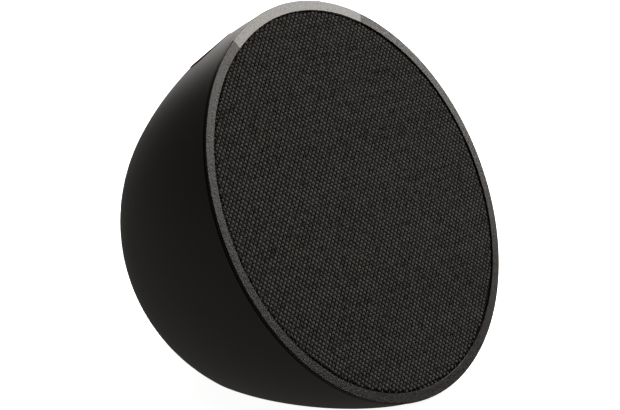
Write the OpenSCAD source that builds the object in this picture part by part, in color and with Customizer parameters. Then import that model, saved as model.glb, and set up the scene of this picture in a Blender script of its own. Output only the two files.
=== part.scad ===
// Tabletop smart hub: a domed body with a round, tilted fabric face, a light bar
// at the top of its trim ring, three buttons behind it and one power inlet.
// Millimetres, +Z up. The origin is the centre of the foot, on the ground, and
// the fabric face looks along -Y, tilted up.
//
// Most pieces are placed on the face: x across, y up the face, z out of it.
// A depth s is measured from the face plane into the body, so z = -s.

/* [Body] */
// Diameter across the trim ring
ring_d = 99; // [96:1:120]
// Lean of the face back from upright, in degrees
face_tilt = 25.5; // [22:0.5:29]
// Height of the ring's lowest point above the ground
ring_lift = 1.2; // [1:0.1:3]
// Distance of the face centre in front of the foot centre
face_forward = 14; // [10:0.5:18]
// Depth of the dome's centre behind the face
dome_depth = 19.2; // [18:0.2:24]
// How much smaller the dome's radius is than the ring's
dome_inset = 5.1; // [4.5:0.1:6.2]
// Angle behind the dome's equator where the side starts to flare, in degrees
flare_angle = 26.4; // [24:0.2:29]
// How far the shell's rim stays inside the ring's edge
rim_inset = 0.13; // [0.1:0.01:0.3]
// Wall of the shell
shell_wall = 2.2; // [1.8:0.1:2.6]
// Floor of the shell
floor_wall = 3.0; // [2.8:0.1:3.6]
// Clearance round a piece that drops into another
fit_gap = 0.1; // [0.05:0.01:0.2]

/* [Trim ring and light bar] */
// Width of the ring's flat face
ring_face = 2.55; // [2.2:0.05:3]
// Thickness of the ring's flange
ring_flange = 0.6; // [0.5:0.05:0.9]
// Width of the shadow groove between ring and shell
groove_w = 0.5; // [0.3:0.05:0.7]
// Depth of the shadow groove in from the ring's edge
groove_in = 0.8; // [0.5:0.05:1]
// Bevel on the ring's outer edge
ring_bevel = 0.18; // [0.1:0.01:0.3]
// Depth of the ring's skirt inside the shell
skirt_depth = 6.6; // [6:0.1:6.8]
// Wall of the ring's skirt
skirt_wall = 2.4; // [2.2:0.1:3]
// Half of the light bar's angle, in degrees
bar_half = 28.8; // [24:0.2:34]
// Thickness of the light guide behind the bar
guide_w = 1.1; // [0.8:0.1:1.3]
// Lights behind the bar
led_count = 7; // [3:1:11]

/* [Fabric and grille] */
// Gap between the fabric and the ring
fabric_gap = 0.25; // [0.2:0.05:0.5]
// Depth of the fabric's surface below the ring's face
fabric_sink = 0.15; // [0:0.05:0.4]
// Thickness of the fabric
fabric_t = 0.7; // [0.5:0.05:0.9]
// Thickness of the grille
grille_t = 2.05; // [1.8:0.05:2.4]
// Diameter of a grille hole
grille_hole = 3.6; // [2.5:0.1:4]
// Distance between grille holes
grille_pitch = 5.2; // [5:0.1:7]
// Radius of the perforated area
grille_area = 27; // [22:1:30]

/* [Buttons] */
// Diameter of a button
button_d = 12.6; // [11:0.1:13.2]
// Depth of the buttons' centres behind the face
button_depth = 15.3; // [14.6:0.1:16.5]
// Angle between the buttons round the face axis, in degrees
button_step = 19; // [18.4:0.2:21]
// How far a button's flat top sits below the shell's crown
button_sink = 0.06; // [0:0.01:0.12]
// Gap round a button
button_gap = 0.2; // [0.12:0.01:0.3]
// Travel of a button
button_travel = 0.4; // [0.25:0.05:0.5]
// Depth of the icon cut into a button
icon_depth = 0.12; // [0.05:0.01:0.2]
// Width of the icon's strokes
icon_w = 0.55; // [0.4:0.05:0.8]
// Width of the icon
icon_size = 4.2; // [3:0.1:5]

/* [Microphones] */
// Diameter of a microphone hole
mic_hole = 1.1; // [0.8:0.1:1.5]
// Depth of the microphones behind the face
mic_depth = 25; // [24:0.5:28]

/* [Driver] */
// Diameter of the driver's flange
driver_d = 53; // [50:0.5:58]
// Depth of the driver's flange below the ring's face
driver_depth = 6.2; // [6:0.1:6.8]
// Distance from the cone's edge to the driver's edge
surround_w = 8; // [7.8:0.1:9.5]
// Diameter of the magnet
magnet_d = 31; // [28:0.5:33]
// Thickness of the magnet
magnet_t = 4.5; // [3.5:0.1:5.5]
// Outer diameter of the pole
pole_d = 11.4; // [10.6:0.1:11.6]
// Greatest stroke of the cone each way
cone_stroke = 1.5; // [0.8:0.1:1.6]

/* [Inside frame] */
// Thickness of the baffle
baffle_t = 2; // [1.6:0.1:2.4]
// Thickness of the gaskets
gasket_t = 0.5; // [0.3:0.05:0.8]
// Outer diameter of the acoustic chamber
chamber_d = 59; // [58:0.5:61]
// Wall of the acoustic chamber
chamber_wall = 1.8; // [1.4:0.1:2.2]
// Radius of the circle of baffle screws
boss_ring = 39.5; // [39.3:0.1:39.8]
// Diameter of a screw boss
boss_d = 5.6; // [5:0.1:5.8]
// Diameter of the small screws
screw_d = 2; // [1.6:0.1:2.2]

/* [Electronics] */
// Diameter of the main board
board_d = 62; // [58:0.5:64]
// Thickness of the main board
board_t = 1.6; // [1:0.1:1.6]
// Height of the posts under the main board
post_h = 4.5; // [4:0.1:5]

/* [Power inlet] */
// Diameter of the inlet recess
inlet_d = 11; // [10:0.1:12]
// Depth of the inlet recess from the shell's crown
inlet_depth = 3; // [2.6:0.1:3.4]
// Diameter of the plug hole in the jack
jack_hole = 5.6; // [5:0.1:6]
// Length of the jack
jack_l = 10; // [8:0.5:11]

/* [Base] */
// Diameter of the rubber foot
foot_d = 41; // [36:0.5:41]
// Height that the foot stands below the shell
foot_proud = 0.8; // [0.5:0.1:1]
// Thickness of the foot
foot_t = 1.4; // [1.2:0.1:1.8]
// Diameter of the base cover
cover_d = 34; // [30:0.5:34]
// Thickness of the base cover
cover_t = 1.2; // [1:0.1:1.4]

/* [Hidden] */
$fn = 96;
big = 300;
cut = 1;

// Body outline, as (radius, depth) about the face axis: a dome arc, then a flare
// arc that leaves it smoothly at the flare angle and meets the rim.
ring_r = ring_d / 2;
rim_r = ring_r - rim_inset;
dome_r = ring_r - dome_inset;
face_z = ring_lift + ring_r * cos(face_tilt);
leave = [cos(flare_angle), sin(flare_angle)];
join_p = [0, dome_depth] + dome_r * leave;
rim_v = [rim_r, 0] - join_p;
flare_r = -(rim_v * rim_v) / (2 * (rim_v * leave));
flare_c = join_p - flare_r * leave;

function flare_at(s, inset = 0) =
    flare_c[0] + sqrt(pow(flare_r - inset, 2) - pow(s - flare_c[1], 2));
function face_point(p) = [
    p[0],
    p[1] * sin(face_tilt) - p[2] * cos(face_tilt) - face_forward,
    p[1] * cos(face_tilt) + p[2] * sin(face_tilt) + face_z
];

// Floor heights
base_z = foot_proud;
floor_z = base_z + floor_wall;

// Ring
open_r = ring_r - ring_face;
neck_s = ring_flange + groove_w;
neck_r = ring_r - groove_in;
collar_r = open_r + 0.95;
ledge_s = fabric_sink + fabric_t + grille_t;
ledge_t = 1;
skirt_in = flare_at(skirt_depth, shell_wall) - skirt_wall - 0.18;
skirt_out = skirt_in + skirt_wall;
guide_r = skirt_out - guide_w - fit_gap;

// Light bar
bar_hair = 0.2;
bar_hair_in = 0.25;
leg_half = bar_half - 1.8;
led_h = 0.3;
guide_end = skirt_depth - led_h - fit_gap;
led_board_t = 0.8;

// Fabric
fabric_r = open_r - fabric_gap;

// Buttons: the seat is a point on the flare, and its tilt is the flare's normal
seat_r = flare_at(button_depth);
seat_tilt = asin((button_depth - flare_c[1]) / flare_r);
button_angles = [-button_step, 0, button_step];
stem_d = 2;
cap_under = -shell_wall - 0.8;
lip_t = 0.8;
lip_over = 0.9;
stem_end = cap_under - lip_t - 1.2;
plunger_d = 1.9;
plunger_l = 0.75;
switch_w = 4.6;
switch_h = 1.4;
switch_top = stem_end - 0.5;
switch_bottom = switch_top - switch_h;
pad_w = 10;
pad_l = 7.6;
pad_t = 0.8;
bracket_top = switch_bottom - pad_t;
bracket_pad_t = 2.5;
function seat_point(u, v) = [
    seat_r + u * sin(seat_tilt) + v * cos(seat_tilt),
    -button_depth + u * cos(seat_tilt) - v * sin(seat_tilt)
];

// Microphones sit under the wall, between the buttons' angles
mic_angles = [-button_step / 2, button_step / 2];
mic_tilt = asin((mic_depth - flare_c[1]) / flare_r);
mic_size = [3.6, 2.8, 1];
mic_seal_h = 1.2;
mic_under = -shell_wall - 0.1;

// Driver stack, as depths from the face
driver_r = driver_d / 2;
flange_t = 1;
cone_r = driver_r - surround_w;
neck_rad = driver_r - 2.8;
seat_lip = cone_r + 3.2;
basket_deep = driver_depth + 12.5;
spider_s = basket_deep - 1.6;
basket_end = basket_deep + 1;
basket_foot_r = magnet_d / 2 + 1.5;
plate_t = 2.5;
magnet_s = basket_end + plate_t;
yoke_s = magnet_s + magnet_t;
yoke_t = 2.6;
yoke_end = yoke_s + yoke_t;
pole_r = pole_d / 2;
coil_in = pole_r + 0.35;
coil_wall = 0.2;
wind_wall = 0.35;
gap_r = coil_in + coil_wall + wind_wall + 0.3;
coil_top = driver_depth + 6.8;
coil_end = yoke_s - cone_stroke - 0.5;
cone_wall = 0.45;
cone_in = coil_in + coil_wall;
cone_edge = cone_r - 1.4;
cone_front = driver_depth + 0.05;
cone_back = coil_top + 0.9;
cone_neck = cone_back - 0.6;
roll_r = (seat_lip - cone_r) / 2 + 0.1;
roll_t = 0.4;
driver_angles = [45, 135, 225, 315];
driver_screw_r = driver_r - 1.6;
lead_d = 1.1;
lead_x = magnet_d / 2 + 4.5;
lead_gap = 2;

// Frame stack
baffle_s = driver_depth + flange_t + gasket_t;
baffle_end = baffle_s + baffle_t;
baffle_r = min(skirt_in, flare_at(baffle_end, shell_wall)) - 1.9;
chamber_s = baffle_end + gasket_t;
chamber_flange_t = 2;
chamber_r = chamber_d / 2;
chamber_flange_r = chamber_r + 6;
chamber_in = yoke_end + 1;
chamber_end = chamber_in + chamber_wall;
chamber_screw_r = chamber_r + 3.2;
board_s = chamber_end + post_h;
board_end = board_s + board_t;
board_r = board_d / 2;
board_flat = 25;
board_screw_r = chamber_r - 3.6;
boss_angles = [45, 135, 225, 315];
screw_r = screw_d / 2;
pilot_r = screw_r + 0.05;
head_r = screw_d * 0.9;
head_h = screw_d * 0.6;

// Electronics behind the board, as [x, y] centres and [x, y, z] sizes
chip_c = [10, 4];
chip = [12, 12, 1.2];
memory_c = [10, -12];
memory = [9, 9, 1];
can_c = [[-11, 9], [-11, -9]];
can = [17, 14, 2];
pad_h = 1;
spreader_r = 18;
spreader_t = 1.2;
spreader_s = board_end + chip[2] + pad_h;
connector_c = [[0, 27, 8], [-22, -12, 5], [24, 12, 6]];
connector = [0, 3.6, 2.6];

// Power inlet, level, on the dome's centre line
dome_at = face_point([0, 0, -dome_depth]);
inlet_r = inlet_d / 2;
inlet_y = dome_at[1] + dome_r - inlet_depth;
jack_r = inlet_r - 0.4;
jack_boss_r = inlet_r + 1.8;
jack_pin_r = 0.85;

// Base
foot_r = foot_d / 2;
cover_r = cover_d / 2;
cover_z = foot_t;
cover_lip = 2.6;
base_screw_r = cover_r - 2.6;
base_boss_h = 4;
base_angles = [90, 210, 330];

// ---------- shared shapes ----------

// Places a piece on the face
module on_face() {
    translate([0, -face_forward, face_z])
        rotate([90 - face_tilt, 0, 0])
            children();
}

// Keeps what is above a level
module above(z) {
    intersection() {
        children();
        translate([-big / 2, -big / 2, z]) cube(big);
    }
}

// A ring between two radii and two depths
module annulus(r1, r2, s1, s2) {
    rotate_extrude() translate([r1, -s2]) square([r2 - r1, s2 - s1]);
}

// Part of such a ring, centred on the top of the face
module sector(half, r1, r2, s1, s2) {
    rotate([0, 0, 90 - half])
        rotate_extrude(angle = 2 * half) translate([r1, -s2]) square([r2 - r1, s2 - s1]);
}

// A disc between two depths
module disc(r, s1, s2) {
    translate([0, 0, -s2]) cylinder(r = r, h = s2 - s1);
}

// Copies a piece to a radius at each angle clockwise from the top of the face
module around(angles, r) {
    for (a = angles)
        rotate([0, 0, -a]) translate([0, r, 0]) children();
}

// Places a piece on the shell at an angle, z out along the shell's normal
module on_seat(a, r, s, tilt) {
    rotate([0, 0, -a])
        translate([0, r, -s])
            rotate([-90 - tilt, 0, 0])
                children();
}

module at_button(a) {
    on_seat(a, seat_r, button_depth, seat_tilt) children();
}

module at_mic(a) {
    on_seat(a, flare_at(mic_depth), mic_depth, mic_tilt) children();
}

// The body's solid of revolution, its outline moved in by an inset. The flare
// dips under the dome by a hair where they meet, so that the two arcs cross.
module body_solid(inset) {
    hair = 0.004;
    split_s = dome_depth + (dome_r - inset) * sin(flare_angle);
    rotate_extrude() {
        translate([0, -dome_depth]) intersection() {
            circle(r = dome_r - inset);
            mirror([0, 1]) square([big, big]);
        }
        translate([0, -split_s]) intersection() {
            translate([flare_c[0], split_s - flare_c[1]]) circle(r = flare_r - inset - hair);
            square([big, split_s]);
        }
    }
}

// A pan-head screw: its head in front of depth s, its shank behind
module screw(s, length) {
    translate([0, 0, -s]) difference() {
        cylinder(r = head_r, h = head_h);
        translate([0, 0, head_h * 0.45]) {
            cube([head_r * 1.2, screw_d * 0.22, head_h * 1.2], center = true);
            cube([screw_d * 0.22, head_r * 1.2, head_h * 1.2], center = true);
        }
    }
    translate([0, 0, -s - length]) cylinder(r = screw_r, h = length);
}

// A straight round wire between two points
module wire(p, q, d) {
    v = q - p;
    translate(p) rotate([0, acos(v[2] / norm(v)), atan2(v[1], v[0])]) cylinder(d = d, h = norm(v));
}

// The flange's outline, bevelled at its outer edge
module flange_outline(r) {
    polygon([
        [open_r, -ring_flange],
        [r, -ring_flange],
        [r, -ring_bevel],
        [r - ring_bevel, 0],
        [open_r + ring_bevel / 2, 0],
        [open_r, -ring_bevel / 2]
    ]);
}

// ---------- casing ----------

// Outer shell: dome, flared side and flat floor, open at the front
module rear_shell() {
    color("#1c1b1a")
    difference() {
        union() {
            shell_wall_and_floor();
            shell_bosses();
        }
        on_face() for (a = button_angles)
            at_button(a) cylinder(d = button_d + 2 * button_gap, h = 3 * shell_wall, center = true);
        on_face() for (a = mic_angles)
            at_mic(a) cylinder(d = mic_hole, h = 3 * shell_wall, center = true);
        on_face() around(boss_angles, boss_ring)
            disc(pilot_r, baffle_end - cut, baffle_end + 9);
        translate([0, inlet_y, dome_at[2]])
            rotate([-90, 0, 0]) cylinder(r = inlet_r, h = inlet_depth + cut);
        translate([0, inlet_y - jack_l - cut, dome_at[2]])
            rotate([-90, 0, 0]) cylinder(r = jack_r + fit_gap / 2, h = jack_l + cut + 0.01);
        base_cutouts();
    }
}

module shell_wall_and_floor() {
    difference() {
        above(base_z) on_face() difference() {
            body_solid(0);
            disc(ring_r + cut, -cut, neck_s);
        }
        above(floor_z) on_face() body_solid(shell_wall);
        above(floor_z) on_face() disc(collar_r + fit_gap, 0, ledge_s + ledge_t + fit_gap);
        on_face() disc(open_r + fit_gap, 0, ledge_s + fit_gap / 2);
    }
}

module shell_bosses() {
    above(base_z) intersection() {
        on_face() body_solid(shell_wall / 2);
        union() {
            on_face() around(boss_angles, boss_ring) disc(boss_d / 2, baffle_end, big / 2);
            translate([0, inlet_y - jack_l, dome_at[2]])
                rotate([-90, 0, 0]) cylinder(r = jack_boss_r, h = jack_l + inlet_depth);
            for (a = base_angles)
                rotate([0, 0, a]) translate([base_screw_r, 0, floor_z - 0.5])
                    cylinder(d = boss_d, h = base_boss_h);
        }
    }
}

module base_cutouts() {
    translate([0, 0, base_z - cut])
        cylinder(r = foot_r + fit_gap, h = foot_t - base_z + cut);
    translate([0, 0, cover_z - cut])
        cylinder(r = cover_r + fit_gap, h = cover_t + fit_gap + cut);
    translate([0, 0, cover_z])
        cylinder(r = cover_r - cover_lip * 2, h = floor_wall + cut);
    for (a = base_angles)
        rotate([0, 0, a]) translate([base_screw_r, 0, cover_z])
            cylinder(r = pilot_r, h = floor_wall + base_boss_h - 1.5);
}

// Trim ring: the flat face, the neck of the shadow groove and the skirt inside
module trim_ring() {
    color("#5b5a58")
    difference() {
        union() {
            on_face() rotate_extrude() flange_outline(ring_r);
            on_face() annulus(open_r, neck_r, ring_flange, neck_s);
            above(floor_z + fit_gap) on_face() {
                annulus(open_r, collar_r, ring_flange, ledge_s + ledge_t);
                annulus(skirt_in, collar_r, ledge_s, ledge_s + ledge_t);
                annulus(skirt_in, skirt_out, ledge_s, skirt_depth);
            }
        }
        on_face() sector(bar_half + 0.06, open_r - cut, ring_r + cut, -cut, neck_s);
        on_face() sector(leg_half + 0.2, guide_r, ring_r + cut, ring_flange, skirt_depth + cut);
    }
}

// Frosted bar in the ring's top, with the light guide that reaches the lights
module light_bar() {
    color("#a6a5a1")
    on_face() {
        rotate([0, 0, 90 - bar_half])
            rotate_extrude(angle = 2 * bar_half) flange_outline(ring_r);
        sector(bar_half, open_r, ring_r - bar_hair_in, ring_flange, ring_flange + bar_hair);
        sector(bar_half, open_r, ring_r - 0.05, ring_flange + bar_hair, neck_s - fit_gap / 2);
        sector(leg_half, open_r, collar_r - fit_gap / 2, neck_s - fit_gap, ledge_s + ledge_t);
        sector(leg_half, guide_r + fit_gap, collar_r - fit_gap / 2, ledge_s + fit_gap / 2,
            ledge_s + ledge_t);
        sector(leg_half, guide_r + fit_gap, skirt_out, ledge_s + fit_gap / 2, guide_end);
    }
}

// Fabric stretched over the grille
module grille_fabric() {
    edge = fabric_t * 0.4;
    color("#2d2b29")
    on_face() rotate_extrude() polygon([
        [0, -fabric_sink - fabric_t],
        [fabric_r, -fabric_sink - fabric_t],
        [fabric_r, -fabric_sink - edge],
        [fabric_r - edge, -fabric_sink],
        [0, -fabric_sink]
    ]);
}

// Perforated disc that carries the fabric
module grille_frame() {
    n = ceil(grille_area / grille_pitch);
    row = grille_pitch * sqrt(3) / 2;
    color("#1b1b1b")
    on_face() difference() {
        disc(fabric_r, fabric_sink + fabric_t, ledge_s);
        for (j = [-n - 1:n + 1])
            for (i = [-n - 1:n + 1]) {
                x = (i + (j % 2) / 2) * grille_pitch;
                y = j * row;
                if (norm([x, y]) < grille_area)
                    translate([x, y, 0])
                        disc(grille_hole / 2, fabric_sink, ledge_s + cut);
            }
    }
}

// ---------- buttons ----------

// Flat round cap, its retaining lip under the wall and its stem
module button_cap(a) {
    top = -button_sink;
    cap_r = button_d / 2;
    color("#232221")
    on_face() at_button(a) difference() {
        union() {
            rotate_extrude() polygon([
                [0, cap_under],
                [cap_r, cap_under],
                [cap_r, top - ring_bevel],
                [cap_r - ring_bevel, top],
                [0, top]
            ]);
            translate([0, 0, cap_under - lip_t]) cylinder(r = cap_r + lip_over, h = lip_t);
            translate([0, 0, stem_end]) cylinder(d = stem_d, h = cap_under - stem_end);
        }
        translate([0, 0, top - icon_depth]) children();
    }
}

module icon_bar(angle) {
    rotate([0, 0, angle])
        translate([-icon_size / 2, -icon_w / 2, 0]) cube([icon_size, icon_w, cut]);
}

module volume_down_button() {
    button_cap(-button_step) icon_bar(0);
}

module mute_button() {
    button_cap(0) {
        difference() {
            cylinder(d = icon_size, h = cut);
            translate([0, 0, -cut]) cylinder(d = icon_size - 2 * icon_w, h = 3 * cut);
        }
        icon_bar(45);
    }
}

module volume_up_button() {
    button_cap(button_step) {
        icon_bar(0);
        icon_bar(90);
    }
}

module switch_plunger(a) {
    color("#8a2f2a")
    on_face() at_button(a)
        translate([0, 0, stem_end - plunger_l]) cylinder(d = plunger_d, h = plunger_l);
}

module volume_down_plunger() {
    switch_plunger(-button_step);
}

module mute_plunger() {
    switch_plunger(0);
}

module volume_up_plunger() {
    switch_plunger(button_step);
}

module switch_bodies() {
    well = plunger_l - 0.5 + button_travel + 0.1;
    color("#b9bbbd")
    on_face() for (a = button_angles)
        at_button(a) difference() {
            translate([-switch_w / 2, -switch_w / 2, switch_bottom])
                cube([switch_w, switch_w, switch_h]);
            translate([0, 0, switch_top - well]) cylinder(d = plunger_d + 0.2, h = well + cut);
        }
}

module button_boards() {
    color("#1f5a3a")
    on_face() for (a = button_angles)
        at_button(a) translate([-pad_w / 2, -pad_l / 2, bracket_top])
            cube([pad_w, pad_l, pad_t]);
}

// Bracket behind the button boards, standing on the baffle's back
module button_bracket() {
    half = button_step + 8;
    under = bracket_top - bracket_pad_t;
    color("#303234")
    on_face() difference() {
        intersection() {
            union() {
                for (a = button_angles)
                    at_button(a) translate([-pad_w / 2, -pad_l, under])
                        cube([pad_w, 2 * pad_l, bracket_pad_t]);
                rotate([0, 0, 90 - half]) rotate_extrude(angle = 2 * half) polygon([
                    seat_point(-6, under + 0.4),
                    seat_point(-6, under - 1.2),
                    seat_point(9, under - 1.2),
                    seat_point(9, under + 0.4)
                ]);
                around(mic_angles, boss_ring - 1) disc(2.2, baffle_end, baffle_end + 5);
            }
            disc(big / 4, baffle_end, baffle_end + 13);
        }
        around(mic_angles, boss_ring - 1) disc(pilot_r, baffle_end - cut, baffle_end + 4);
    }
}

module bracket_screws() {
    color("#9a9c9e")
    on_face() around(mic_angles, boss_ring - 1) screw(baffle_s, baffle_t + 3.5);
}

// ---------- microphones and lights ----------

module microphones() {
    color("#c9b27a")
    on_face() for (a = mic_angles)
        at_mic(a) translate([0, 0, mic_under - mic_seal_h - mic_size[2] / 2])
            cube(mic_size, center = true);
}

module microphone_seals() {
    color("#3a3a3a")
    on_face() for (a = mic_angles)
        at_mic(a) translate([0, 0, mic_under - mic_seal_h]) difference() {
            cylinder(r = 1.3, h = mic_seal_h);
            translate([0, 0, -cut]) cylinder(d = mic_hole, h = mic_seal_h + 2 * cut);
        }
}

module led_board() {
    color("#1f5a3a")
    on_face() sector(leg_half - 1, skirt_in - 1.2, skirt_out - 0.2, skirt_depth,
        skirt_depth + led_board_t);
}

module light_leds() {
    step = 2 * (leg_half - 3) / (led_count - 1);
    color("#f2efe4")
    on_face() for (i = [0:led_count - 1])
        rotate([0, 0, leg_half - 3 - i * step])
            translate([-0.9, guide_r + 0.2, -skirt_depth]) cube([1.8, guide_w - 0.3, led_h]);
}

// ---------- driver ----------

module front_baffle() {
    color("#26282a")
    above(floor_z + fit_gap) on_face() difference() {
        disc(baffle_r, baffle_s, baffle_end);
        disc(neck_rad + 0.3, baffle_s - cut, baffle_end + cut);
        around(boss_angles, boss_ring) disc(pilot_r, baffle_s - cut, baffle_end + cut);
        around(mic_angles, boss_ring - 1) disc(pilot_r, baffle_s - cut, baffle_end + cut);
        around(driver_angles, driver_screw_r) disc(pilot_r, baffle_s - cut, baffle_end + cut);
        around([0, 90, 180, 270], chamber_screw_r) disc(pilot_r, baffle_s - cut, baffle_end + cut);
    }
}

module baffle_screws() {
    color("#9a9c9e")
    on_face() around(boss_angles, boss_ring) screw(baffle_s, baffle_t + 7);
}

module driver_gasket() {
    color("#2b2b2b")
    on_face() difference() {
        annulus(neck_rad + 0.4, driver_r - 0.2, driver_depth + flange_t, baffle_s);
        around(driver_angles, driver_screw_r) disc(pilot_r, driver_depth, baffle_s + cut);
    }
}

// Pressed steel basket with six windows
module driver_basket() {
    color("#3c3f42")
    on_face() difference() {
        rotate_extrude() polygon([
            [seat_lip - 0.8, -driver_depth],
            [driver_r, -driver_depth],
            [driver_r, -driver_depth - flange_t],
            [neck_rad, -driver_depth - flange_t],
            [neck_rad, -baffle_end - gasket_t],
            [basket_foot_r, -spider_s + 0.6],
            [basket_foot_r, -basket_end],
            [gap_r + 2, -basket_end],
            [gap_r + 2, -basket_deep],
            [basket_foot_r - 2.5, -basket_deep],
            [basket_foot_r - 2.5, -spider_s],
            [basket_foot_r - 1, -spider_s],
            [neck_rad - 1.1, -baffle_end - gasket_t + 0.4],
            [neck_rad - 1.1, -driver_depth - flange_t + 0.2]
        ]);
        for (a = [0:60:300])
            rotate([0, 0, a + 30]) translate([basket_foot_r - 4, -5, -spider_s + 1.2])
                cube([14, 10, spider_s - 1.2 - baffle_end - gasket_t - 0.8]);
        around(driver_angles, driver_screw_r)
            disc(pilot_r, driver_depth - cut, driver_depth + flange_t + cut);
    }
}

// Half-round rubber roll between cone and flange
module driver_surround() {
    mid_r = (cone_r + seat_lip) / 2;
    lip = 0.4;
    color("#1e1e1e")
    on_face() rotate_extrude() {
        difference() {
            translate([mid_r, -driver_depth]) circle(r = roll_r);
            translate([mid_r, -driver_depth]) circle(r = roll_r - roll_t);
            translate([mid_r - big / 2, -driver_depth]) mirror([0, 1]) square([big, big]);
        }
        translate([mid_r + roll_r - 0.2, -driver_depth]) square([1.2, lip]);
        translate([mid_r - roll_r - 1, -driver_depth]) square([1.2, lip]);
    }
}

// Shallow cone with a flat edge that the surround is glued to
module driver_cone() {
    color("#2a2a2c")
    on_face() rotate_extrude() polygon([
        [cone_in, -cone_back],
        [cone_in, -cone_neck],
        [cone_edge, -cone_front],
        [cone_r - 0.1, -cone_front],
        [cone_r - 0.1, -cone_front - cone_wall],
        [cone_edge + 0.2, -cone_front - cone_wall]
    ]);
}

// Domed cap over the coil
module dust_cap() {
    cap_r = coil_in + 1.6;
    rise = 1.8;
    sphere_r = (cap_r * cap_r + rise * rise) / (2 * rise);
    base = cone_neck - (cap_r - cone_in) * (cone_neck - cone_front) / (cone_edge - cone_in) - 0.02;
    color("#303033")
    on_face() rotate_extrude() intersection() {
        difference() {
            translate([0, -base - sphere_r + rise]) circle(r = sphere_r);
            translate([0, -base - sphere_r + rise]) circle(r = sphere_r - 0.4);
        }
        translate([0, -base]) square([cap_r, rise + cut]);
    }
}

module voice_coil() {
    wind_top = basket_end - 0.2;
    color("#a8682f")
    on_face() {
        annulus(coil_in, coil_in + coil_wall, coil_top, coil_end);
        annulus(coil_in + coil_wall - 0.05, coil_in + coil_wall + wind_wall, wind_top,
            coil_end - 0.5);
    }
}

// Corrugated suspension between coil and basket
module driver_spider() {
    r1 = coil_in + coil_wall + 0.05;
    r2 = basket_foot_r - 1.1;
    flat = 1.3;
    waves = 4;
    swing = 0.45;
    t = 0.35;
    steps = waves * 2;
    function wave_r(i) = r1 + (r2 - flat - r1) * i / steps;
    function wave_s(i) = spider_s - (i % 2 == 0 ? 0 : swing);
    color("#b08a3c")
    on_face() rotate_extrude() polygon(concat(
        [for (i = [0:steps]) [wave_r(i), -wave_s(i)]],
        [[r2, -spider_s], [r2, -spider_s + t]],
        [for (i = [steps:-1:0]) [wave_r(i), -wave_s(i) + t]]
    ));
}

module top_plate() {
    color("#7d8083")
    on_face() annulus(gap_r, magnet_d / 2 + 0.5, basket_end, magnet_s);
}

module magnet() {
    color("#3a3b3d")
    on_face() annulus(gap_r + 1.6, magnet_d / 2, magnet_s, yoke_s);
}

module yoke() {
    color("#7d8083")
    on_face() {
        disc(magnet_d / 2 + 0.5, yoke_s, yoke_end);
        disc(pole_r, basket_end - 0.1, yoke_s + 0.1);
    }
}

module driver_screws() {
    color("#9a9c9e")
    on_face() around(driver_angles, driver_screw_r)
        screw(driver_depth, flange_t + gasket_t + baffle_t + 1);
}

// Two wires from the driver through the chamber's back to the board
module speaker_leads() {
    color("#a02c28")
    on_face() for (side = [-1, 1])
        translate([lead_x, lead_gap * side, 0]) disc(lead_d / 2, basket_end + 1, board_s - 0.05);
}

// ---------- inside frame ----------

// Sealed cup behind the driver, with the posts that carry the main board
module acoustic_chamber() {
    color("#2c2e31")
    on_face() difference() {
        union() {
            annulus(chamber_r - chamber_wall, chamber_flange_r, chamber_s,
                chamber_s + chamber_flange_t);
            annulus(chamber_r - chamber_wall, chamber_r, chamber_s, chamber_end);
            disc(chamber_r, chamber_in, chamber_end);
            around(boss_angles, board_screw_r) disc(boss_d / 2, chamber_end - 0.5, board_s);
        }
        around([0, 90, 180, 270], chamber_screw_r)
            disc(pilot_r, chamber_s - cut, chamber_s + chamber_flange_t + cut);
        around(boss_angles, board_screw_r) disc(pilot_r, chamber_end + 0.5, board_s + cut);
        for (side = [-1, 1])
            translate([lead_x, lead_gap * side, 0])
                disc(lead_d / 2 + fit_gap, chamber_in - cut, chamber_end + cut);
    }
}

module chamber_seal() {
    color("#2b2b2b")
    on_face() difference() {
        annulus(chamber_r - chamber_wall, chamber_flange_r - 0.3, baffle_end, chamber_s);
        around([0, 90, 180, 270], chamber_screw_r)
            disc(pilot_r, baffle_end - cut, chamber_s + cut);
    }
}

module chamber_screws() {
    color("#9a9c9e")
    on_face() around([0, 90, 180, 270], chamber_screw_r)
        screw(baffle_s, baffle_t + gasket_t + chamber_flange_t + 0.5);
}

// ---------- electronics ----------

module main_board() {
    color("#1f5a3a")
    on_face() difference() {
        intersection() {
            disc(board_r, board_s, board_end);
            translate([-board_r, -board_flat, -board_end])
                cube([2 * board_r, 2 * board_r, board_t]);
        }
        around(boss_angles, board_screw_r) disc(pilot_r, board_s - cut, board_end + cut);
    }
}

// Screws that enter from the back of the board
module board_screws() {
    color("#9a9c9e")
    on_face() around(boss_angles, board_screw_r)
        translate([0, 0, -2 * board_end]) rotate([0, 180, 0])
            screw(board_end, board_t + 3.5);
}

// A box standing on the back of the board
module on_board(centre, size, lift = 0) {
    translate([centre[0] - size[0] / 2, centre[1] - size[1] / 2,
        -board_end - lift - size[2]]) cube(size);
}

module shield_cans() {
    color("#c4c6c8")
    on_face() for (c = can_c) on_board(c, can);
}

module processor_chip() {
    color("#202124")
    on_face() on_board(chip_c, chip);
}

module memory_chip() {
    color("#26272a")
    on_face() on_board(memory_c, memory);
}

module thermal_pad() {
    color("#8fa3b5")
    on_face() on_board(chip_c, [chip[0], chip[1], pad_h], chip[2]);
}

module heat_spreader() {
    color("#b7babd")
    on_face() disc(spreader_r, spreader_s, spreader_s + spreader_t);
}

module board_connectors() {
    color("#e6e3da")
    on_face() for (c = connector_c) on_board(c, [c[2], connector[1], connector[2]]);
}

// Two flat antennas beside the board, close to the wall
module wifi_antennas() {
    size = [0.6, 22, 9];
    mid = 24;
    x = sqrt(pow(flare_at(mid + size[2] / 2, shell_wall), 2) - pow(size[1] / 2, 2))
        - size[0] / 2 - fit_gap;
    color("#b98b4a")
    on_face() for (side = [-1, 1])
        translate([side * x, 0, -mid]) cube(size, center = true);
}

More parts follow.
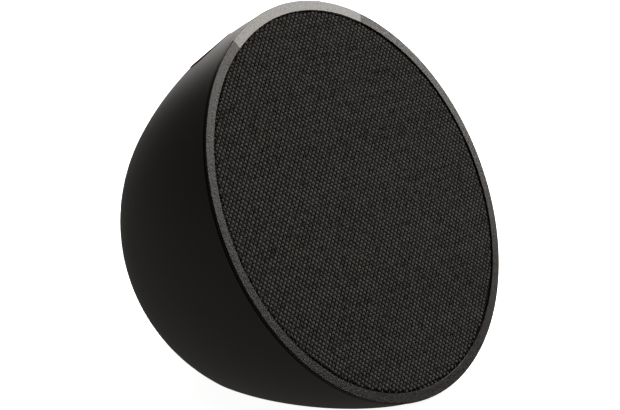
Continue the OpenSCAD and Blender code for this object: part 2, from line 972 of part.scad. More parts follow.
// Flat cable from the board's top, round the bracket's end to the middle button board
module ribbon_cable() {
    t = 0.3;
    low = [connector_c[0][1] + connector[1] / 2 + 0.05, -board_end - 1.2];
    out = [board_r + 0.8, -board_end - 1.2];
    knee = seat_point(-pad_l - 0.2, bracket_top + 0.05);
    high = seat_point(-pad_l / 2 - 0.05, bracket_top + 0.05);
    lift = seat_point(0, t) - seat_point(0, 0);
    color("#c98f3a")
    on_face() rotate([90, 0, 90]) linear_extrude(7, center = true)
        polygon([
            low, out, knee, high,
            high + lift, knee + lift + [0, -t / 2], out + [t, -t], low + [0, -t]
        ]);
}

// ---------- power inlet ----------

module power_jack() {
    color("#19191a")
    translate([0, inlet_y - jack_l, dome_at[2]]) rotate([-90, 0, 0]) difference() {
        cylinder(r = jack_r, h = jack_l);
        translate([0, 0, 1.5]) cylinder(d = jack_hole, h = jack_l);
    }
}

module jack_pin() {
    color("#d0d2d4")
    translate([0, inlet_y - jack_l + 1.5, dome_at[2]])
        rotate([-90, 0, 0]) cylinder(r = jack_pin_r, h = jack_l - 3);
}

// Two wires from the back of the jack to their connector on the board
module power_leads() {
    plug = connector_c[2];
    color("#b5322c")
    for (side = [-1, 1])
        wire(
            [lead_gap / 2 * side, inlet_y - jack_l - 0.05, dome_at[2]],
            face_point([plug[0], plug[1] + lead_gap / 2 * side, -board_end - connector[2] - 0.05]),
            lead_d
        );
}

// ---------- base ----------

module base_cover() {
    color("#242424")
    difference() {
        translate([0, 0, cover_z]) cylinder(r = cover_r, h = cover_t);
        for (a = base_angles)
            rotate([0, 0, a]) translate([base_screw_r, 0, 0]) {
                cylinder(r = pilot_r, h = cover_z + cover_t + cut);
                translate([0, 0, cover_z - cut]) cylinder(r = head_r + 0.1, h = cut + 0.6);
            }
    }
}

module base_screws() {
    color("#9a9c9e")
    for (a = base_angles)
        rotate([0, 0, a]) translate([base_screw_r, 0, cover_z]) {
            cylinder(r = head_r, h = 0.55);
            cylinder(r = screw_r, h = cover_t + 3.5);
        }
}

// Soft foot that the hub stands on
module foot_pad() {
    color("#2a2a2a")
    difference() {
        cylinder(r = foot_r, h = foot_t);
        translate([0, 0, -cut]) difference() {
            cylinder(r = foot_r - 2.6, h = cut + 0.3);
            translate([0, 0, -cut]) cylinder(r = foot_r - 3.4, h = 3 * cut);
        }
    }
}

rear_shell();
trim_ring();
light_bar();
grille_fabric();
grille_frame();
volume_down_button();
mute_button();
volume_up_button();
volume_down_plunger();
mute_plunger();
volume_up_plunger();
switch_bodies();
button_boards();
button_bracket();
bracket_screws();
microphones();
microphone_seals();
led_board();
light_leds();
front_baffle();
baffle_screws();
driver_gasket();
driver_basket();
driver_surround();
driver_cone();
dust_cap();
voice_coil();
driver_spider();
top_plate();
magnet();
yoke();
driver_screws();
speaker_leads();
acoustic_chamber();
chamber_seal();
chamber_screws();
main_board();
board_screws();
shield_cans();
processor_chip();
memory_chip();
thermal_pad();
heat_spreader();
board_connectors();
wifi_antennas();
ribbon_cable();
power_jack();
jack_pin();
power_leads();
base_cover();
base_screws();
foot_pad();
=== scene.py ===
"""A round tabletop hub: a domed soft-touch shell, a tilted face of woven cloth in a
satin trim ring with a frosted light bar, three buttons and one power inlet.

Everything is in metres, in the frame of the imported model: the hub stands on z = 0
and its face looks along -Y, tilted up."""
import bpy
import bmesh
import math
from mathutils import Matrix, Vector


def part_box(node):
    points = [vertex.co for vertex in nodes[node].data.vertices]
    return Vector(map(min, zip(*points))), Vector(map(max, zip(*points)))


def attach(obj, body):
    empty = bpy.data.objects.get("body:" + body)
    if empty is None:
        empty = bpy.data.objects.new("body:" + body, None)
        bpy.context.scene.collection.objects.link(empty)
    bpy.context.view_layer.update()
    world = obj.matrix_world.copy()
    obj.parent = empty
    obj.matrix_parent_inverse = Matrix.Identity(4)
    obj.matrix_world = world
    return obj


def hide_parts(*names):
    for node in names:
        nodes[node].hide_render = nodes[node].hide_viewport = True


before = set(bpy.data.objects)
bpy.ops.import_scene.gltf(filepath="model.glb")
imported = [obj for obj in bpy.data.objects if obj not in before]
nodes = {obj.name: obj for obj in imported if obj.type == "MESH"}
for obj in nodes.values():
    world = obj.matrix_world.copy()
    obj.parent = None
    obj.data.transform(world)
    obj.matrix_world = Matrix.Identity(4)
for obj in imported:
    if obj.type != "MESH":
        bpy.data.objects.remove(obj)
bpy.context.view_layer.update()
MM = 0.001

# Sizes that the part has, which place the face
FACE_LEAN = math.radians(25.5)
RING_FLANGE = 0.6 * MM
RING_BEVEL = 0.18 * MM

# The cloth over the grille: plain woven, of thick and soft polyester yarn
YARN_PITCH = 0.75 * MM
YARN_WIDTH = 0.66 * MM
YARN_HEIGHT = 0.15 * MM
YARN_SWING = 0.1 * MM
YARN_WOBBLE = 0.1 * MM
WOBBLE_SIZE_MM = 2.2
YARN_SIDES = 6
STEPS_PER_CROSSING = 2
# Share by which a yarn is thicker where it lies on top, and thinner where it is under
YARN_BULGE = 0.35
# Painted shade: how much lighter a yarn is painted on top than where it dips under, in place of the
# shade in the weave's valleys; and how much yarns differ
YARN_PAINTED_VALLEY_SHADE = 0.2
YARN_DIFFERENCE = 0.1
CLOTH_RADIUS = 46.7 * MM
CLOTH_SINK = 0.15 * MM
CLOTH_EDGE = 0.38 * MM
CLOTH_TUCK = 0.3 * MM
BACKING_DEPTH = 0.16 * MM
BACKING_GAP = 0.02 * MM
BACKING_EDGE = 0.2 * MM
BACKING_RINGS = 12
BACKING_STEPS = 128

# Camera: where it stands, seen from the centre of the face
CAMERA_TURN = math.radians(-52.7)
CAMERA_RISE = math.radians(14.3)
CAMERA_DISTANCE = 0.5
CAMERA_LENS = 123.16
CAMERA_SHIFT = (-0.0841, -0.0106)

# Soft studio lights: place, width, height and watts, and the dim room round them
SOFT_LIGHTS = {
    "high_right": ((0.9, -0.2, 1.0), 0.6, 0.6, 18.5),
    "low_right": ((1.15, -0.45, 0.6), 0.7, 0.4, 8.5),
    "behind_right": ((0.8, 0.8, 0.4), 0.8, 0.5, 3.2),
    "overhead": ((0.0, 0.1, 1.0), 1.2, 1.2, 1.0),
}
ROOM_LIGHT = 0.06
FLOOR_BOUNCE = 0.13


# ---------- where the face is ----------

def face_matrix():
    """Turns face coordinates (x across, y up the face, z out of it) into the hub's frame."""
    low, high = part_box("trim_ring")
    radius = (high.x - low.x) / 2
    centre = Vector((
        0,
        low.y + (radius - RING_BEVEL) * math.sin(FACE_LEAN),
        low.z + radius * math.cos(FACE_LEAN) + RING_FLANGE * math.sin(FACE_LEAN),
    ))
    return Matrix.Translation(centre) @ Matrix.Rotation(math.radians(90) - FACE_LEAN, 4, "X")


FACE = face_matrix()


# ---------- making materials ----------

def linear(hex_colour):
    """An sRGB hex colour as linear RGBA."""
    parts = [int(hex_colour[i:i + 2], 16) / 255 for i in (1, 3, 5)]
    return [p / 12.92 if p <= 0.04045 else ((p + 0.055) / 1.055) ** 2.4 for p in parts] + [1.0]


def add(tree, kind, values=None, links=None, **settings):
    """Adds one node with its settings, its sockets' values and the links into it."""
    made = tree.nodes.new(kind)
    for name, value in settings.items():
        setattr(made, name, value)
    for name, value in (values or {}).items():
        made.inputs[name].default_value = value
    for name, source in (links or {}).items():
        tree.links.new(source, made.inputs[name])
    return made


def per_metre(size_mm):
    """The texture scale whose features are this many millimetres across."""
    return 1 / (size_mm * MM)


def new_material(name, roughness, metallic=0.0, **sockets):
    """A material with a Principled shader, and its tree and shader to add a pattern to."""
    material = bpy.data.materials.new(name)
    material.use_nodes = True
    tree = material.node_tree
    shader = tree.nodes["Principled BSDF"]
    shader.inputs["Roughness"].default_value = roughness
    shader.inputs["Metallic"].default_value = metallic
    for socket, value in sockets.items():
        shader.inputs[socket.replace("_", " ")].default_value = value
    return material, tree, shader


def colours_between(tree, factor, dark, light, low=0.3, high=0.7):
    """Mixes two colours by a pattern's value."""
    ramp = add(tree, "ShaderNodeValToRGB", links={"Fac": factor})
    for stop, place, colour in zip(ramp.color_ramp.elements, (low, high), (dark, light)):
        stop.position = place
        stop.color = linear(colour)
    return ramp.outputs["Color"]


def roughness_between(tree, shader, factor, low, high):
    """Lets the roughness follow a pattern's value."""
    spread = add(tree, "ShaderNodeMapRange", {"To Min": low, "To Max": high}, {"Value": factor})
    tree.links.new(spread.outputs["Result"], shader.inputs["Roughness"])


def bumps(tree, shader, height, depth_mm, strength=1.0, under=None):
    """Raises the surface by a pattern, up to a depth in millimetres."""
    links = {"Height": height}
    if under:
        links["Normal"] = under
    bump = add(tree, "ShaderNodeBump", {"Strength": strength, "Distance": depth_mm * MM}, links)
    tree.links.new(bump.outputs["Normal"], shader.inputs["Normal"])
    return bump.outputs["Normal"]


def noise(tree, place, size_mm, detail=2.0, rough=0.5, **settings):
    """A noise whose grains are this many millimetres across."""
    made = add(
        tree, "ShaderNodeTexNoise",
        {"Scale": per_metre(size_mm), "Detail": detail, "Roughness": rough},
        {"Vector": place}, **settings)
    return made.outputs["Fac"]


def place_on_part(tree):
    return add(tree, "ShaderNodeTexCoord").outputs["Object"]


def grained(name, dark, light, grain_mm, roughness, depth_mm, metallic=0.0, **sockets):
    """A moulded, cast or coated finish: fine grain in colour, roughness and relief."""
    material, tree, shader = new_material(name, sum(roughness) / 2, metallic, **sockets)
    grain = noise(tree, place_on_part(tree), grain_mm, 3.0, 0.6)
    tree.links.new(colours_between(tree, grain, dark, light), shader.inputs["Base Color"])
    roughness_between(tree, shader, grain, *roughness)
    bumps(tree, shader, grain, depth_mm)
    return material


# ---------- the outside's materials ----------

def soft_touch_shell():
    """Soft-touch coated ABS: near black, an even low sheen over a fine spark-eroded grain."""
    material, tree, shader = new_material(
        "soft_touch_abs", 0.5, Specular_IOR_Level=0.75, Sheen_Weight=0.12, Sheen_Roughness=0.35)
    place = place_on_part(tree)
    grain = noise(tree, place, 0.45, 2.0, 0.55)
    cloud = noise(tree, place, 14, 3.0, 0.5)
    mixed = add(tree, "ShaderNodeMath", {1: 0.25}, {0: cloud}, operation="MULTIPLY")
    both = add(tree, "ShaderNodeMath", {1: 0.75, 2: 0.0}, {0: grain, 2: mixed.outputs[0]},
               operation="MULTIPLY_ADD")
    tree.links.new(
        colours_between(tree, both.outputs[0], "#282624", "#312f2c", 0.25, 0.75),
        shader.inputs["Base Color"])
    roughness_between(tree, shader, both.outputs[0], 0.46, 0.56)
    bumps(tree, shader, grain, 0.012)
    return material


def satin_ring():
    """Moulded ABS under a satin metallic paint: charcoal, with a fine light fleck."""
    material, tree, shader = new_material("satin_charcoal_paint", 0.3, Specular_IOR_Level=0.22)
    place = place_on_part(tree)
    grain = noise(tree, place, 0.5, 3.0, 0.7)
    tree.links.new(
        colours_between(tree, grain, "#080707", "#302e2c", 0.36, 0.66), shader.inputs["Base Color"])
    roughness_between(tree, shader, grain, 0.2, 0.4)
    bumps(tree, shader, grain, 0.06)
    return material


def frosted_bar():
    """Frosted polycarbonate light guide: milky light grey, dull, with a faint depth."""
    material, tree, shader = new_material(
        "frosted_polycarbonate", 0.5, IOR=1.58, Subsurface_Weight=0.2, Subsurface_Scale=0.001)
    place = place_on_part(tree)
    frost = noise(tree, place, 0.5, 3.0, 0.7)
    tree.links.new(
        colours_between(tree, frost, "#767775", "#9d9d9b", 0.36, 0.66), shader.inputs["Base Color"])
    roughness_between(tree, shader, frost, 0.42, 0.56)
    bumps(tree, shader, frost, 0.01)
    return material


def yarn(name, dark, light):
    """Spun polyester yarn: charcoal fibres of several greys, dull, with painted shade: darker where it
    dips under, lighter on the crowns.
    """
    material, tree, shader = new_material(name, 0.9, Specular_IOR_Level=0.06)
    place = place_on_part(tree)
    fibres = noise(tree, place, 0.16, 3.0, 0.65)
    melange = noise(tree, place, 1.1, 2.0, 0.5)
    own = add(tree, "ShaderNodeAttribute", attribute_name="yarn_tone")
    rise = add(tree, "ShaderNodeAttribute", attribute_name="yarn_rise")
    blend = add(tree, "ShaderNodeMath", {1: 0.45}, {0: fibres, 2: melange}, operation="MULTIPLY_ADD")
    spread = add(
        tree, "ShaderNodeMath", {1: YARN_DIFFERENCE},
        {0: own.outputs["Fac"], 2: blend.outputs[0]}, operation="MULTIPLY_ADD")
    # Painted shade: yarn_rise lightens the tops of the yarn and darkens it where it dips under
    tone_with_painted_shade = add(tree, "ShaderNodeMath", {1: YARN_PAINTED_VALLEY_SHADE}, {0: rise.outputs["Fac"], 2: spread.outputs[0]},
                operation="MULTIPLY_ADD")
    tree.links.new(
        colours_between(tree, tone_with_painted_shade.outputs[0], dark, light, 0.56, 1.06), shader.inputs["Base Color"])
    bumps(tree, shader, fibres, 0.03)
    return material


def cloth_backing():
    """Knitted black backing under the face cloth: dull, it shows only as dark pores."""
    return grained("black_knit_backing", "#060606", "#0e0d0d", 0.2, (0.9, 1.0), 0.03)


def foot_rubber():
    """Silicone rubber foot: matt dark grey, with fine rings that grip the table."""
    material, tree, shader = new_material("silicone_rubber", 0.7, Specular_IOR_Level=0.4)
    place = place_on_part(tree)
    dust = noise(tree, place, 1.2, 4.0, 0.6)
    tree.links.new(colours_between(tree, dust, "#262625", "#302f2e"), shader.inputs["Base Color"])
    rings = add(
        tree, "ShaderNodeTexWave", {"Scale": per_metre(1.2) / 20, "Distortion": 0.0},
        {"Vector": place}, wave_type="RINGS", rings_direction="Z", wave_profile="SIN")
    raised = bumps(tree, shader, rings.outputs["Fac"], 0.12, 0.6)
    bumps(tree, shader, dust, 0.02, 1.0, raised)
    roughness_between(tree, shader, dust, 0.62, 0.78)
    return material


# ---------- the inside's materials ----------

def circuit_board():
    """FR4 board under green solder mask: a faint glass weave and rows of copper tracks."""
    material, tree, shader = new_material("green_solder_mask", 0.35, Coat_Weight=0.3)
    place = place_on_part(tree)
    turn = add(tree, "ShaderNodeMapping", {"Rotation": (FACE_LEAN - math.radians(90), 0, 0)},
               {"Vector": place})
    tracks = add(
        tree, "ShaderNodeTexBrick",
        {"Scale": per_metre(6), "Mortar Size": 0.06, "Mortar Smooth": 0.1, "Brick Width": 0.8,
         "Row Height": 0.16, "Color1": (0, 0, 0, 1), "Color2": (0, 0, 0, 1), "Mortar": (1, 1, 1, 1)},
        {"Vector": turn.outputs["Vector"]})
    weave = noise(tree, place, 0.5, 2.0, 0.5)
    lines = add(tree, "ShaderNodeMath", {1: 0.35}, {0: weave, 2: tracks.outputs["Fac"]},
                operation="MULTIPLY_ADD")
    tree.links.new(
        colours_between(tree, lines.outputs[0], "#12452b", "#2c7a4c", 0.15, 1.0),
        shader.inputs["Base Color"])
    bumps(tree, shader, lines.outputs[0], 0.03)
    return material


def wound_copper():
    """Enamelled copper wire, wound close: warm metal turns with a dark line between."""
    material, tree, shader = new_material("enamelled_copper_wire", 0.3, 1.0)
    turn = add(tree, "ShaderNodeMapping", {"Rotation": (FACE_LEAN - math.radians(90), 0, 0)},
               {"Vector": place_on_part(tree)})
    turns = add(tree, "ShaderNodeTexWave", {"Scale": per_metre(0.35) / 20},
                {"Vector": turn.outputs["Vector"]}, bands_direction="Z")
    tree.links.new(
        colours_between(tree, turns.outputs["Fac"], "#6d3417", "#c47a45", 0.1, 0.6),
        shader.inputs["Base Color"])
    bumps(tree, shader, turns.outputs["Fac"], 0.08)
    return material


def brushed_metal(name, dark, light, roughness):
    """Rolled or brushed metal: fine streaks along one way."""
    material, tree, shader = new_material(name, sum(roughness) / 2, 1.0)
    stretch = add(tree, "ShaderNodeMapping", {"Scale": (0.06, 1.0, 1.0)},
                  {"Vector": place_on_part(tree)})
    streaks = noise(tree, stretch.outputs["Vector"], 0.25, 3.0, 0.6)
    tree.links.new(colours_between(tree, streaks, dark, light), shader.inputs["Base Color"])
    roughness_between(tree, shader, streaks, *roughness)
    bumps(tree, shader, streaks, 0.005)
    return material


def ribbon():
    """Polyimide flat cable: amber film over rows of copper tracks."""
    material, tree, shader = new_material("polyimide_film", 0.3, Coat_Weight=0.4)
    tracks = add(tree, "ShaderNodeTexWave", {"Scale": per_metre(0.8) / 20},
                 {"Vector": place_on_part(tree)}, bands_direction="X")
    tree.links.new(
        colours_between(tree, tracks.outputs["Fac"], "#9a5a17", "#d79a3c", 0.4, 0.6),
        shader.inputs["Base Color"])
    bumps(tree, shader, tracks.outputs["Fac"], 0.03)
    return material


# What each slot of the record is made of
def make_materials():
    return {
        "shell_black": soft_touch_shell(),
        "ring_charcoal": satin_ring(),
        "light_frosted": frosted_bar(),
        "fabric_charcoal": cloth_backing(),
        # Glass-filled nylon grille: black and dull
        "grille_black": grained("black_nylon", "#121212", "#1b1b1b", 0.4, (0.55, 0.7), 0.015),
        # Button caps: the shell's plastic, a little smoother from the fingers
        "button_black": grained(
            "button_abs", "#191816", "#201f1d", 0.45, (0.42, 0.5), 0.008, Specular_IOR_Level=0.36),
        # Moulded PC/ABS frame parts: plain dark grey
        "frame_grey": grained("grey_pc_abs", "#26282a", "#313336", 0.5, (0.5, 0.65), 0.02),
        "rubber_black": foot_rubber(),
        # Closed-cell foam: open little bubbles
        "foam_black": grained("closed_cell_foam", "#1a1a1a", "#2d2d2d", 0.35, (0.85, 1.0), 0.12),
        "board_green": circuit_board(),
        # Epoxy moulding compound on chips
        "chip_black": grained("epoxy_package", "#191a1c", "#26272a", 0.15, (0.5, 0.7), 0.01),
        # Red acetal switch pin
        "switch_red": grained("red_acetal", "#7e2620", "#97322a", 0.4, (0.35, 0.5), 0.006),
        "switch_steel": brushed_metal("stainless_sheet", "#8f9193", "#b4b6b8", (0.28, 0.42)),
        "mic_brass": brushed_metal("gold_plated_can", "#b39a5c", "#d8c188", (0.2, 0.35)),
        # Light-emitting diode: yellowish-white silicone lens
        "led_white": grained("led_silicone", "#e3dfcb", "#f4f1e4", 0.2, (0.3, 0.45), 0.004),
        # Basket: pressed steel under black powder coat
        "basket_steel": grained(
            "powder_coated_steel", "#2e3134", "#404347", 0.5, (0.45, 0.6), 0.03),
        # Cone: pressed paper pulp, with fibres
        "cone_paper": grained("pressed_paper", "#222224", "#363639", 0.8, (0.75, 0.95), 0.05),
        # Spider: phenolic-dipped cotton cloth
        "spider_cloth": grained("phenolic_cotton", "#94702c", "#bd9448", 0.3, (0.75, 0.9), 0.06),
        "coil_copper": wound_copper(),
        # Zinc-plated steel: faint blue-grey spangle
        "steel_plain": grained(
            "zinc_plated_steel", "#84878b", "#aeb1b5", 1.6, (0.26, 0.42), 0.008, 1.0),
        # Sintered ferrite: dull dark ceramic
        "magnet_ferrite": grained("sintered_ferrite", "#2f3032", "#434446", 0.25, (0.5, 0.7), 0.03),
        "can_tin": brushed_metal("tinned_steel_can", "#a3a5a7", "#cfd1d3", (0.18, 0.32)),
        "spreader_alu": brushed_metal("brushed_aluminium", "#a4a7aa", "#c4c7ca", (0.25, 0.4)),
        # Silicone heat pad: soft, chalky blue-grey
        "pad_blue": grained("silicone_heat_pad", "#7d92a6", "#9cb0c2", 0.5, (0.7, 0.85), 0.03),
        # Nylon plug housings
        "connector_ivory": grained("ivory_nylon", "#d9d5c8", "#ece9e0", 0.6, (0.4, 0.55), 0.01),
        "polyimide": ribbon(),
        # PVC wire jacket
        "lead_red": grained("red_pvc", "#97281f", "#b5382f", 0.6, (0.35, 0.5), 0.01),
        # Jack body: PBT with a little glass
        "jack_black": grained("black_pbt", "#141415", "#1f1f20", 0.35, (0.4, 0.55), 0.012),
        "pin_nickel": brushed_metal("nickel_plated_brass", "#b9bab8", "#dcdcda", (0.15, 0.28)),
    }


def dress_nodes(materials):
    """Gives every node the finish of its slot in the record."""
    for node in nodes.values():
        for slot in node.material_slots:
            slot.material = materials[slot.material.name.split(".")[0]]


# ---------- making pieces ----------

def finished(name, mesh, matrix, body):
    """Makes a piece of a mesh that is in face coordinates, and lets it ride on a body."""
    mesh.transform(matrix)
    mesh.name = name
    piece = bpy.data.objects.new(name, mesh)
    bpy.context.scene.collection.objects.link(piece)
    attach(piece, body)
    return piece


def plain_mesh(tree, values):
    """Runs a geometry tree with these inputs, and returns what it makes as a plain mesh."""
    holder = bpy.data.objects.new("holder", bpy.data.meshes.new("holder"))
    bpy.context.scene.collection.objects.link(holder)
    modifier = holder.modifiers.new("made", "NODES")
    modifier.node_group = tree
    for item in tree.interface.items_tree:
        if item.item_type == "SOCKET" and item.in_out == "INPUT" and item.name in values:
            modifier[item.identifier] = values[item.name]
    evaluated = holder.evaluated_get(bpy.context.evaluated_depsgraph_get())
    mesh = bpy.data.meshes.new_from_object(evaluated)
    holder.modifiers.clear()
    bpy.data.objects.remove(holder)
    return mesh


def new_tree(name, sizes, counts=()):
    """A geometry tree with named inputs: lengths and numbers, whole numbers and a material."""
    tree = bpy.data.node_groups.new(name, "GeometryNodeTree")
    tree.interface.new_socket("Geometry", in_out="OUTPUT", socket_type="NodeSocketGeometry")
    for size in sizes:
        tree.interface.new_socket(size, in_out="INPUT", socket_type="NodeSocketFloat")
    for count in counts:
        tree.interface.new_socket(count, in_out="INPUT", socket_type="NodeSocketInt")
    tree.interface.new_socket("Material", in_out="INPUT", socket_type="NodeSocketMaterial")
    return tree, add(tree, "NodeGroupInput").outputs, add(tree, "NodeGroupOutput")


def calculate(tree, operation, *terms):
    """One Math node on these numbers and sockets, and its result."""
    made = add(tree, "ShaderNodeMath", operation=operation)
    for socket, term in zip(made.inputs, terms):
        if isinstance(term, (int, float)):
            socket.default_value = term
        else:
            tree.links.new(term, socket)
    return made.outputs[0]


def yarn_tree():
    """Every second yarn of one direction of a plain weave, over a disc with a rounded edge.

    Yarns run along x, a pitch apart in y. Each rises over one crossing yarn and dips under
    the next, and past the disc's edge it follows the rounding down."""
    tree, given, result = new_tree(
        "woven_yarns",
        ("Pitch", "Yarn Width", "Yarn Height", "Swing", "Over First", "Bulge", "Wobble",
         "Flat Radius", "Edge Radius", "Tuck", "First Row"),
        ("Rows", "Steps", "Seed"))
    pitch = given["Pitch"]
    double = calculate(tree, "MULTIPLY", pitch, 2)
    rows = add(
        tree, "GeometryNodeMeshLine", links={
            "Count": given["Rows"],
            "Start Location": add(
                tree, "ShaderNodeCombineXYZ", links={"Y": given["First Row"]}).outputs[0],
            "Offset": add(tree, "ShaderNodeCombineXYZ", links={"Y": double}).outputs[0],
        })
    half = calculate(
        tree, "MULTIPLY", given["Steps"],
        calculate(tree, "MULTIPLY", pitch, 0.5 / STEPS_PER_CROSSING))
    back = calculate(tree, "MULTIPLY", half, -1)
    line = add(
        tree, "GeometryNodeCurvePrimitiveLine", links={
            "Start": add(tree, "ShaderNodeCombineXYZ", links={"X": back}).outputs[0],
            "End": add(tree, "ShaderNodeCombineXYZ", links={"X": half}).outputs[0],
        })
    points = calculate(tree, "ADD", given["Steps"], 1)
    stepped = add(
        tree, "GeometryNodeResampleCurve", links={"Curve": line.outputs[0], "Count": points})
    copies = add(
        tree, "GeometryNodeInstanceOnPoints",
        links={"Points": rows.outputs[0], "Instance": stepped.outputs[0]})
    loose = add(tree, "GeometryNodeRealizeInstances", links={"Geometry": copies.outputs[0]})

    place = add(
        tree, "ShaderNodeSeparateXYZ",
        links={"Vector": add(tree, "GeometryNodeInputPosition").outputs[0]})
    x, y = place.outputs["X"], place.outputs["Y"]
    reach = calculate(
        tree, "SQRT", calculate(tree, "MULTIPLY_ADD", x, x, calculate(tree, "MULTIPLY", y, y)))
    quarter = calculate(tree, "MULTIPLY", given["Edge Radius"], math.pi / 2)
    whole = calculate(
        tree, "ADD", calculate(tree, "ADD", given["Flat Radius"], quarter), given["Tuck"])
    inside = add(
        tree, "GeometryNodeDeleteGeometry",
        links={"Geometry": loose.outputs[0],
               "Selection": calculate(tree, "GREATER_THAN", reach, whole)},
        domain="POINT")

    # Along the surface: flat, then round the edge, then straight down
    past = calculate(tree, "MAXIMUM", calculate(tree, "SUBTRACT", reach, given["Flat Radius"]), 0)
    bend = calculate(
        tree, "MINIMUM", calculate(tree, "DIVIDE", past, given["Edge Radius"]), math.pi / 2)
    sine = calculate(tree, "SINE", bend)
    cosine = calculate(tree, "COSINE", bend)
    straight = calculate(tree, "MAXIMUM", calculate(tree, "SUBTRACT", past, quarter), 0)
    turns = calculate(tree, "DIVIDE", calculate(tree, "ADD", x, y), pitch)
    over = calculate(
        tree, "MULTIPLY", given["Over First"],
        calculate(tree, "COSINE", calculate(tree, "MULTIPLY", turns, math.pi)))
    wave = calculate(tree, "MULTIPLY", given["Swing"], over)
    out = calculate(
        tree, "MULTIPLY_ADD", calculate(tree, "ADD", given["Edge Radius"], wave), sine,
        calculate(tree, "MINIMUM", reach, given["Flat Radius"]))
    scale = calculate(tree, "DIVIDE", out, calculate(tree, "MAXIMUM", reach, 0.00001))
    drop = calculate(
        tree, "SUBTRACT",
        calculate(tree, "MULTIPLY", calculate(tree, "ADD", given["Edge Radius"], wave), cosine),
        calculate(tree, "ADD", given["Edge Radius"], straight))
    # Hand of the cloth: no yarn runs quite straight
    stray = add(tree, "ShaderNodeTexNoise", {"Scale": per_metre(WOBBLE_SIZE_MM), "Detail": 1.0},
                noise_dimensions="3D")
    centred = add(tree, "ShaderNodeVectorMath", {1: (0.5, 0.5, 0.5)},
                  {0: stray.outputs["Color"]}, operation="SUBTRACT")
    shifted = add(tree, "ShaderNodeVectorMath",
                  links={0: centred.outputs[0], "Scale": given["Wobble"]}, operation="SCALE")
    risen = add(
        tree, "GeometryNodeStoreNamedAttribute", {"Name": "yarn_rise"},
        {"Geometry": inside.outputs[0], "Value": over}, data_type="FLOAT", domain="POINT")
    laid = add(
        tree, "GeometryNodeSetPosition",
        links={"Geometry": risen.outputs[0], "Offset": shifted.outputs[0],
               "Position": add(
                   tree, "ShaderNodeCombineXYZ",
                   links={"X": calculate(tree, "MULTIPLY", x, scale),
                          "Y": calculate(tree, "MULTIPLY", y, scale),
                          "Z": drop}).outputs[0]})

    tone = add(
        tree, "FunctionNodeRandomValue", links={"Seed": given["Seed"]}, data_type="FLOAT")
    toned = add(
        tree, "GeometryNodeStoreNamedAttribute", {"Name": "yarn_tone"},
        {"Geometry": laid.outputs[0], "Value": tone.outputs[1]},
        data_type="FLOAT", domain="CURVE")
    upright = add(
        tree, "GeometryNodeSetCurveNormal", links={"Curve": toned.outputs[0]}, mode="Z_UP")
    # A yarn spreads where it lies on top, and is squeezed where it passes under
    rise = add(tree, "GeometryNodeInputNamedAttribute", {"Name": "yarn_rise"}, data_type="FLOAT")
    spread = calculate(tree, "MULTIPLY_ADD", given["Bulge"], rise.outputs[0], 1)
    circle = add(tree, "GeometryNodeCurvePrimitiveCircle", {"Resolution": YARN_SIDES, "Radius": 0.5})
    flat = add(
        tree, "GeometryNodeTransform",
        links={"Geometry": circle.outputs[0],
               "Scale": add(
                   tree, "ShaderNodeCombineXYZ", {"Z": 1.0},
                   {"X": given["Yarn Width"], "Y": given["Yarn Height"]}).outputs[0]})
    tubes = add(
        tree, "GeometryNodeCurveToMesh", {"Fill Caps": True},
        {"Curve": upright.outputs[0], "Profile Curve": flat.outputs[0], "Scale": spread})
    whole_yarns = add(tree, "GeometryNodeRealizeInstances", links={"Geometry": tubes.outputs[0]})
    smooth = add(tree, "GeometryNodeSetShadeSmooth", links={"Geometry": whole_yarns.outputs[0]})
    dressed = add(
        tree, "GeometryNodeSetMaterial",
        links={"Geometry": smooth.outputs[0], "Material": given["Material"]})
    tree.links.new(dressed.outputs[0], result.inputs[0])
    return tree


def weave_face_cloth():
    """The warp and weft of the face cloth, each as two sets of every second yarn."""
    tree = yarn_tree()
    outer = CLOTH_RADIUS - YARN_SWING - YARN_HEIGHT / 2
    half_rows = math.ceil(CLOTH_RADIUS / YARN_PITCH)
    half_rows += half_rows % 2
    middle = -CLOTH_SINK - YARN_SWING - YARN_HEIGHT / 2
    looks = {
        "weft": yarn("charcoal_weft_yarn", "#151414", "#555452"),
        # The warp is coloured much darker than the weft: painted shade, standing in for the shaded gaps
        # of the weave
        "warp": yarn("charcoal_warp_yarn_painted_shade", "#0b0a0a", "#22201f"),
    }
    made = []
    for way, turn in (("weft", 0), ("warp", 90)):
        for set_name, first in (("even", 0), ("odd", 1)):
            mesh = plain_mesh(tree, {
                "Pitch": YARN_PITCH, "Yarn Width": YARN_WIDTH, "Yarn Height": YARN_HEIGHT,
                "Swing": YARN_SWING, "Over First": 1.0 if way == "weft" else -1.0,
                "Bulge": YARN_BULGE, "Wobble": YARN_WOBBLE,
                "Flat Radius": outer - CLOTH_EDGE, "Edge Radius": CLOTH_EDGE,
                "Tuck": CLOTH_TUCK, "First Row": (first - half_rows) * YARN_PITCH,
                "Rows": half_rows + 1 - first, "Steps": 2 * STEPS_PER_CROSSING * half_rows,
                "Seed": 3 + first,
                "Material": looks[way],
            })
            if turn:
                # Turned a quarter, the same pattern meets the weft crossing for crossing
                mesh.transform(Matrix.Rotation(math.radians(turn), 4, "Z"))
            piece = finished(
                f"cloth_{way}_{set_name}", mesh, FACE @ Matrix.Translation((0, 0, middle)),
                "casing")
            made.append(piece)
    return made


def disc_of_rings(rings, steps):
    """A round mesh through rings of (radius, height), closed in its middle."""
    work = bmesh.new()
    centre = work.verts.new((0, 0, rings[0][1]))
    before = None
    for radius, height in rings:
        ring = [
            work.verts.new((
                radius * math.cos(2 * math.pi * i / steps),
                radius * math.sin(2 * math.pi * i / steps), height))
            for i in range(steps)]
        for i in range(steps):
            j = (i + 1) % steps
            if before is None:
                work.faces.new((centre, ring[i], ring[j]))
            else:
                work.faces.new((before[i], ring[i], ring[j], before[j]))
        before = ring
    for face in work.faces:
        face.smooth = True
    mesh = bpy.data.meshes.new("rings")
    work.to_mesh(mesh)
    work.free()
    return mesh


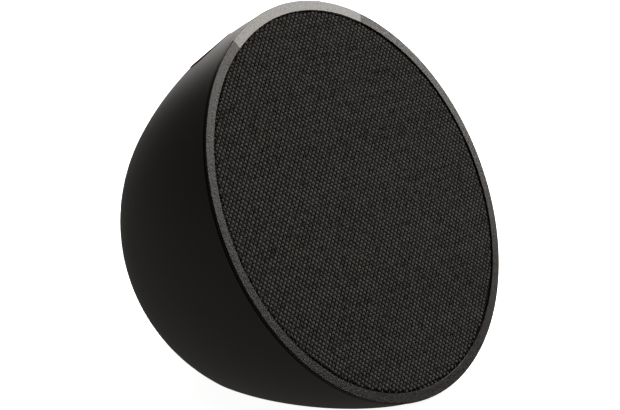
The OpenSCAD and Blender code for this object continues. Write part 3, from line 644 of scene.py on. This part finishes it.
def back_face_cloth(threads, material):
    """The cloth's backing, a disc whose rim is tucked down behind the trim ring."""
    depth = CLOTH_SINK + 2 * YARN_SWING + YARN_HEIGHT + BACKING_GAP
    radius = CLOTH_RADIUS - 2 * YARN_SWING - YARN_HEIGHT
    edge = BACKING_EDGE
    flat = radius - edge
    rings = [
        (flat * i / BACKING_RINGS, 0) for i in range(1, BACKING_RINGS + 1)]
    rings += [
        (flat + edge * math.sin(math.radians(a)), edge * (math.cos(math.radians(a)) - 1))
        for a in (30, 60, 90)]
    rings.append((radius, -edge - BACKING_DEPTH))
    mesh = disc_of_rings(rings, BACKING_STEPS)
    mesh.materials.append(material)
    piece = finished(
        "cloth_backing", mesh, FACE @ Matrix.Translation((0, 0, -depth)), "casing")
    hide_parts("grille_fabric")
    return piece


# ---------- floor, lights and camera ----------

def lay_floor():
    """A plain pale floor, wide enough to fill the view."""
    bpy.ops.mesh.primitive_plane_add(size=12)
    floor = bpy.context.object
    floor.name = "floor"
    material, tree, shader = new_material(
        "pale_floor", 0.9, Specular_IOR_Level=0.1, Emission_Color=(1, 1, 1, 1),
        Emission_Strength=0.95)
    shader.inputs["Base Color"].default_value = linear("#f4f4f3")
    floor.data.materials.append(material)
    # Its bounce would wash out the dark shell, so only the camera sees it
    floor.visible_diffuse = False
    floor.visible_glossy = False


def hang_light(name, place, target, width, height, watts, colour="#fffaf5"):
    """A soft rectangular light that faces a point."""
    light = bpy.data.lights.new(name, "AREA")
    light.shape = "RECTANGLE"
    light.size, light.size_y = width, height
    light.energy = watts
    light.color = linear(colour)[:3]
    lamp = bpy.data.objects.new(name, light)
    lamp.location = place
    lamp.rotation_euler = (Vector(target) - Vector(place)).to_track_quat("-Z", "Y").to_euler()
    bpy.context.scene.collection.objects.link(lamp)


def light_the_studio():
    world = bpy.data.worlds.new("studio")
    world.use_nodes = True
    tree = world.node_tree
    direction = add(tree, "ShaderNodeTexCoord").outputs["Generated"]
    height = add(tree, "ShaderNodeSeparateXYZ", links={"Vector": direction}).outputs["Z"]
    glow = add(
        tree, "ShaderNodeMapRange",
        {"From Min": -0.25, "From Max": 0.1, "To Min": FLOOR_BOUNCE, "To Max": ROOM_LIGHT},
        {"Value": height})
    backdrop = tree.nodes["Background"]
    backdrop.inputs["Color"].default_value = linear("#fffbf7")
    tree.links.new(glow.outputs["Result"], backdrop.inputs["Strength"])
    bpy.context.scene.world = world
    middle = FACE.translation
    for name, (place, width, height, watts) in SOFT_LIGHTS.items():
        hang_light(name, place, middle, width, height, watts)
    bpy.context.scene.view_settings.view_transform = "Standard"


def stand_camera():
    centre = FACE.translation
    camera = bpy.data.objects.new("camera", bpy.data.cameras.new("camera"))
    way = Vector((
        math.sin(CAMERA_TURN) * math.cos(CAMERA_RISE),
        -math.cos(CAMERA_TURN) * math.cos(CAMERA_RISE),
        math.sin(CAMERA_RISE)))
    camera.location = centre + way * CAMERA_DISTANCE
    camera.rotation_euler = (-way).to_track_quat("-Z", "Y").to_euler()
    camera.data.sensor_width = 36
    camera.data.lens = CAMERA_LENS
    camera.data.shift_x, camera.data.shift_y = CAMERA_SHIFT
    camera.data.clip_start, camera.data.clip_end = 0.01, 20
    bpy.context.scene.collection.objects.link(camera)
    bpy.context.scene.camera = camera


stand_camera()
light_the_studio()
lay_floor()
finishes = make_materials()
dress_nodes(finishes)
back_face_cloth(weave_face_cloth(), finishes["fabric_charcoal"])
